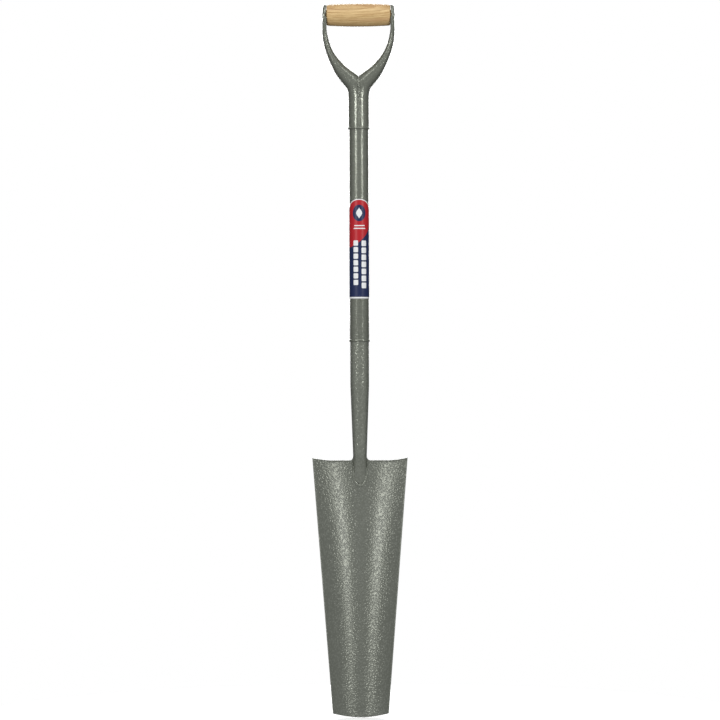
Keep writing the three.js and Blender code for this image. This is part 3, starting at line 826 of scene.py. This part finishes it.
# ---- crotch welds ------------------------------------------------------------------------------
# Where the two pressings part, a heavier, less even run of hand-laid weld fills the groove between them up
# the stem and over the crotch, front and back.
def crotch_weld_points(side):
    """Up the groove between the pressings, a little below their faces, straying by up to half a
    millimetre: side is -1 at the front and 1 at the back."""
    first, last, steps = 1.95, 4.6, 60
    sunk = 0.3
    nudge = 0.02
    least_slant = 0.4
    points = []
    for i in range(steps + 1):
        up = lerp(first, last, i / steps)
        edge = yoke_face(side, up)
        across = yoke_face(side * (1 - nudge), up) - edge
        across = across / np.linalg.norm(across)
        along = yoke_face(side, up + nudge) - yoke_face(side, up - nudge)
        along = along / np.linalg.norm(along)
        out = -sunk / max(across[0], least_slant)
        stray = 0.35 * math.sin(0.589 * i) + 0.2 * math.sin(0.83 * i)
        points.append((stray, edge[1] + side * along[2] * out, edge[2] - side * along[1] * out))
    return points


for side, where in ((-1, "front"), (1, "back")):
    weld(f"{where}_crotch_weld", f"crotch_weld_{where}", crotch_weld_points(side),
         level=4.6, upright=4.6, ripple=2.8, depth=0.1, coat=enamel, lump=2.3, taper=4.0)


# ---- grip --------------------------------------------------------------------------------------
# A barrel turned from pale ash and drilled for the rivet, thickest in the middle, with its edges eased
# and a short spigot at each end that sits in the eye. One thin coat of clear varnish.
GRIP = {
    "half_length": 50.2,
    "middle_radius": 18.0,
    "end_radius": 16.5,
    "edge_round": 2.6,
    "spigot_radius": 8.0,
    "spigot_end": 54.8,
    "bore_radius": 4.4,
}


def turned_ash():
    """Ash, a ring-porous hardwood, turned and varnished. The barrel lies along the grain, so growth rings
    a few millimetres apart cross it as long streaks, and the open pores of each early wood band show as
    short darker dashes. Varnish leaves a satin skin that follows the pores."""
    material, tree = new_material("varnished_ash")
    place_on = add(tree, "ShaderNodeTexCoord").outputs["Object"]
    sway = add(tree, "ShaderNodeTexNoise", {"Vector": place_on, "Scale": 22.0, "Detail": 2.0})
    sway_centred = add(tree, "ShaderNodeVectorMath", [sway.outputs["Color"], (0.5, 0.5, 0.5)],
                       operation="SUBTRACT")
    swayed = add(tree, "ShaderNodeVectorMath", [sway_centred, (0.0, 3 * MM, 3 * MM), place_on],
                 operation="MULTIPLY_ADD")
    # The tree's heart lay outside the blank, below and behind it, and ran a few degrees off its axis.
    heart = add(tree, "ShaderNodeMapping", {
        "Vector": swayed, "Location": (0.0, -0.055, -1.045),
        "Rotation": (0.0, math.radians(1.2), math.radians(1))}, vector_type="POINT")
    flat = add(tree, "ShaderNodeVectorMath", [heart, (0.0, 1.0, 1.0)], operation="MULTIPLY")
    radius = add(tree, "ShaderNodeVectorMath", [flat], operation="LENGTH")
    years = add(tree, "ShaderNodeMath", [radius.outputs["Value"], 1 / (2.4 * MM)], operation="MULTIPLY")
    year = add(tree, "ShaderNodeMath", [years], operation="FRACT")
    late = add(tree, "ShaderNodeMapRange", {
        "Value": year, "From Min": 0.1, "From Max": 1.0}, interpolation_type="SMOOTHSTEP")
    drawn = add(tree, "ShaderNodeMapping", {"Vector": swayed, "Scale": (0.08, 1.0, 1.0)})
    fibre = add(tree, "ShaderNodeTexNoise", {
        "Vector": drawn, "Scale": 1 / (1.9 * MM), "Detail": 4.0, "Roughness": 0.65})
    streak = add(tree, "ShaderNodeTexNoise", {"Vector": drawn, "Scale": 1 / (7 * MM), "Detail": 2.0})
    faint_late = add(tree, "ShaderNodeMath", [late, 0.28], operation="MULTIPLY")
    wood_tone = add(tree, "ShaderNodeMath", [fibre.outputs["Fac"], 1.3, faint_late],
                    operation="MULTIPLY_ADD")
    tone = add(tree, "ShaderNodeValToRGB", {"Fac": wood_tone})
    for stop, position, hex_code in zip(tone.color_ramp.elements, (0.35, 1.12), ("#a57a40", "#dfc089")):
        stop.position = position
        stop.color = srgb(hex_code)
    blush_share = add(tree, "ShaderNodeMapRange", {
        "Value": streak.outputs["Fac"], "From Min": 0.48, "From Max": 0.68, "To Max": 0.45})
    blush = add(tree, "ShaderNodeMix", {
        "Factor": blush_share, "A": tone.outputs["Color"], "B": srgb("#c99a6e")}, data_type="RGBA")
    pores_place = add(tree, "ShaderNodeMapping", {"Vector": place_on, "Scale": (0.12, 1.0, 1.0)})
    pores = add(tree, "ShaderNodeTexVoronoi", {"Vector": pores_place, "Scale": 1 / (0.8 * MM)})
    pore = add(tree, "ShaderNodeMapRange", {
        "Value": pores.outputs["Distance"], "From Min": 0.12, "From Max": 0.3,
        "To Min": 1.0, "To Max": 0.0})
    early = add(tree, "ShaderNodeMapRange", {"Value": year, "From Min": 0.3, "From Max": 0.05})
    open_pore = add(tree, "ShaderNodeMath", [pore, early], operation="MULTIPLY")
    dark = add(tree, "ShaderNodeMath", [open_pore, 0.55], operation="MULTIPLY")
    grained = add(tree, "ShaderNodeMix", {
        "Factor": dark, "A": blush.outputs["Result"], "B": srgb("#7c5b32")}, data_type="RGBA")
    hollow = add(tree, "ShaderNodeMath", [open_pore, -1.0, fibre.outputs["Fac"]], operation="MULTIPLY_ADD")
    relief = add(tree, "ShaderNodeBump", {"Strength": 0.25, "Distance": 0.12 * MM, "Height": hollow})
    gloss = add(tree, "ShaderNodeMapRange", {"Value": fibre.outputs["Fac"], "To Min": 0.42, "To Max": 0.58})
    wood = add(tree, "ShaderNodeBsdfPrincipled", {
        "Base Color": grained.outputs["Result"], "Roughness": gloss, "IOR": 1.5,
        "Coat Weight": 0.15, "Coat Roughness": 0.25, "Normal": relief})
    add(tree, "ShaderNodeOutputMaterial", {"Surface": wood})
    return material


def grip_profile():
    """Half of the barrel's outline from the bore at its end to its middle, as (radius, x)."""
    edge_steps, barrel_steps = 8, 16
    ease = 0.4
    edge_start = GRIP["half_length"] - GRIP["edge_round"]
    half = [
        (GRIP["bore_radius"], GRIP["spigot_end"]),
        (GRIP["spigot_radius"] - ease, GRIP["spigot_end"]),
        (GRIP["spigot_radius"], GRIP["spigot_end"] - ease),
        (GRIP["spigot_radius"], GRIP["half_length"]),
    ]
    for i in range(edge_steps + 1):
        angle = math.pi / 2 * i / edge_steps
        radius = GRIP["end_radius"] - GRIP["edge_round"] * (1 - math.sin(angle))
        half.append((radius, GRIP["half_length"] - GRIP["edge_round"] * (1 - math.cos(angle))))
    for i in range(1, barrel_steps + 1):
        share = i / barrel_steps
        bulge = (GRIP["middle_radius"] - GRIP["end_radius"]) * (1 - share) ** 2
        half.append((GRIP["middle_radius"] - bulge, edge_start * (1 - share)))
    return half


grip_axis = grip_height @ Matrix.Rotation(math.pi / 2, 4, "Y")
profile = grip_profile()
profile += [(radius, -x) for radius, x in profile[-2::-1]]
grip = loft("barrel_grip", [circle(radius, x, 128) for radius, x in profile], closed_ends=False)
grip.data.transform(grip_axis)
grip.data.materials.append(turned_ash())
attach(grip, "root")
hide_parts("grip")


# ---- rivet -------------------------------------------------------------------------------------
# One long mild steel rivet through both eyes and the bore of the grip, with a low domed head at each
# end, painted over with the rest of the handle.
RIVET = {"shank": 4.0, "head": 7.2, "rise": 0.9, "rim": 0.1, "seat": 57.25}


def rivet_rings():
    """From the top of one head, round it and down the shank, to the top of the other."""
    dome_steps = 8
    seat, rim = RIVET["seat"], RIVET["rim"]
    half = [(0.0, seat + RIVET["rise"])]
    for i in range(1, dome_steps + 1):
        angle = math.pi / 2 * i / dome_steps
        half.append((RIVET["head"] * math.sin(angle), seat + rim + (RIVET["rise"] - rim) * math.cos(angle)))
    half += [(RIVET["head"], seat), (RIVET["shank"], seat)]
    whole = half + [(radius, -x) for radius, x in half[::-1]]
    return [circle(radius, x, 48) if radius else [(0.0, 0.0, x)] for radius, x in whole]


rivet = loft("long_rivet", rivet_rings())
rivet.data.transform(grip_axis)
rivet.data.materials.append(enamel)
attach(rivet, "root")
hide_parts("grip_rivet")


# ---- label -------------------------------------------------------------------------------------
# A printed vinyl sticker pressed round the front of the shaft: a round-topped white panel, printed with a
# red head, a dark blue field, a plain leaf, bars and blocks. Each colour is a skin 0.03 mm thick.
LABEL = {"bottom": 657.0, "top": 813.0, "half_width": 22.6, "base": 15.55, "vinyl": 0.2, "ink": 0.03}


def printed_vinyl(name, hex_code):
    """Gloss-laminated vinyl. The ink under its film is flat and even; the film itself has a faint orange
    peel, which softens the lamps' reflections in it."""
    material, tree = new_material(name)
    place_on = add(tree, "ShaderNodeTexCoord").outputs["Object"]
    peel = add(tree, "ShaderNodeTexNoise", {"Vector": place_on, "Scale": 1 / (3 * MM), "Detail": 1.0})
    relief = add(tree, "ShaderNodeBump", {
        "Strength": 0.15, "Distance": 0.05 * MM, "Height": peel.outputs["Fac"]})
    grain = add(tree, "ShaderNodeTexNoise", {"Vector": place_on, "Scale": 1 / (0.6 * MM), "Detail": 2.0})
    ink = srgb(hex_code)
    speck = add(tree, "ShaderNodeMix", {
        "Factor": grain.outputs["Fac"], "A": tuple(0.94 * c for c in ink[:3]) + (1.0,), "B": ink},
        data_type="RGBA")
    film = add(tree, "ShaderNodeBsdfPrincipled", {
        "Base Color": speck.outputs["Result"], "Roughness": 0.34, "IOR": 1.5, "Normal": relief})
    add(tree, "ShaderNodeOutputMaterial", {"Surface": film})
    return material


def label_outline(inset):
    """The round-topped panel drawn in by inset, flat, in (across, up) from the middle of its foot."""
    half = LABEL["half_width"] - inset
    spring = LABEL["top"] - LABEL["bottom"] - LABEL["half_width"]
    steps = 48
    turns = [math.pi * i / steps for i in range(steps + 1)]
    arch = [(half * math.cos(turn), spring + half * math.sin(turn)) for turn in turns]
    return [(-half, 0.0), (half, 0.0), *arch]


def rounded_bar(left, right, bottom, top, radius):
    """A bar with round corners, anticlockwise from its lower right one."""
    corners = [(right, bottom, -90), (right, top, 0), (left, top, 90), (left, bottom, 180)]
    corner_steps = 5
    points = []
    for x, y, start in corners:
        centre_x = x - math.copysign(radius, x - (left + right) / 2)
        centre_y = y - math.copysign(radius, y - (bottom + top) / 2)
        for step in range(corner_steps + 1):
            angle = math.radians(start + 90 * step / corner_steps)
            points.append((centre_x + radius * math.cos(angle), centre_y + radius * math.sin(angle)))
    return points


def leaf(centre_up, length, half_width):
    """A plain pointed leaf, upright."""
    steps, pointedness = 16, 1.3
    shares = [i / steps for i in range(steps + 1)]
    edge = [(half_width * math.sin(math.pi * share) ** pointedness, centre_up + length * (share - 0.5))
            for share in shares]
    return edge + [(-x, y) for x, y in edge[-2:0:-1]]


def wrapped(outline, low, high, colour_index, mesh):
    """Adds a flat outline to mesh as a skin from low to high above the tube, bent round it."""
    flat = bmesh.new()
    flat.faces.new([flat.verts.new((x, y, 0)) for x, y in outline])
    bmesh.ops.triangulate(flat, faces=flat.faces)
    reach = int(LABEL["half_width"]) + 1
    for step in range(-reach, reach + 1):
        cells = [*flat.verts, *flat.edges, *flat.faces]
        bmesh.ops.bisect_plane(flat, geom=cells, plane_co=(step, 0, 0), plane_no=(1, 0, 0))
    raised = bmesh.ops.extrude_face_region(flat, geom=flat.faces[:])["geom"]
    tops = {item for item in raised if isinstance(item, bmesh.types.BMVert)}
    bmesh.ops.recalc_face_normals(flat, faces=flat.faces)
    for vert in flat.verts:
        radius = LABEL["base"] + (high if vert in tops else low)
        turn = vert.co.x / LABEL["base"]
        vert.co = (radius * math.sin(turn), -radius * math.cos(turn), LABEL["bottom"] + vert.co.y)
    bmesh.ops.recalc_face_normals(flat, faces=flat.faces)
    made = {vert: mesh.verts.new(vert.co * MM) for vert in flat.verts}
    for face in flat.faces:
        copy = mesh.faces.new([made[vert] for vert in face.verts])
        copy.material_index = colour_index
    flat.free()


WHITE, RED, BLUE = range(3)
vinyl, ink = LABEL["vinyl"], LABEL["ink"]
BORDER = 1.4
field = LABEL["half_width"] - BORDER
# The red head sweeps down the left side and the blue field up the right one.
SWEEP_FOOT, SWEEP_RISE = 80.0, 34.0
BLUE_FOOT = 2.4
sweep = [(field * (1 - i / 8), SWEEP_FOOT + SWEEP_RISE * (1 - i / 16) ** 2) for i in range(17)]
sticker = bmesh.new()
wrapped(label_outline(0.0), 0.0, vinyl, WHITE, sticker)
wrapped([(-field, BLUE_FOOT), (field, BLUE_FOOT), *sweep], vinyl, vinyl + ink, BLUE, sticker)
wrapped([*sweep[::-1], *label_outline(BORDER)[2:]], vinyl, vinyl + ink, RED, sticker)
EMBLEM_UP, DISC_HALF_WIDTH, DISC_HALF_HEIGHT = 134.0, 10.5, 13.0
turns = [math.pi * i / 24 for i in range(48)]
disc = [(DISC_HALF_WIDTH * math.cos(turn), EMBLEM_UP + DISC_HALF_HEIGHT * math.sin(turn)) for turn in turns]
wrapped(disc, vinyl + ink, vinyl + 2 * ink, BLUE, sticker)
wrapped(leaf(EMBLEM_UP, 17.0, 4.6), vinyl + 2 * ink, vinyl + 3 * ink, WHITE, sticker)
# Left, right, bottom, rise and corner radius of each bar, and of the blocks in two even columns.
bars = [(-8.0, 9.0, 113.4, 1.6, 0.5), (-9.0, 10.0, 109.0, 1.6, 0.5)]
bars += [(-9.4, -1.8, 21.0 + 10.3 * i, 8.2, 1.2) for i in range(7)]
bars += [(3.6, 11.6, 16.0 + 11.0 * i, 8.8, 1.2) for i in range(7)]
for left, right, bottom, rise, corner in bars:
    bar = rounded_bar(left, right, bottom, bottom + rise, corner)
    wrapped(bar, vinyl + ink, vinyl + 2 * ink, WHITE, sticker)
sticker_data = bpy.data.meshes.new("shaft_label")
sticker.to_mesh(sticker_data)
sticker.free()
for name, hex_code in (("white_vinyl", "#f4f5f5"), ("red_ink", "#bd0f1e"), ("blue_ink", "#0c2150")):
    sticker_data.materials.append(printed_vinyl(name, hex_code))
sticker_data.polygons.foreach_set("use_smooth", [True] * len(sticker_data.polygons))
sticker_data.set_sharp_from_angle(angle=math.radians(40))
shaft_label = place("shaft_label", sticker_data)
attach(shaft_label, "root")
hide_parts("label")
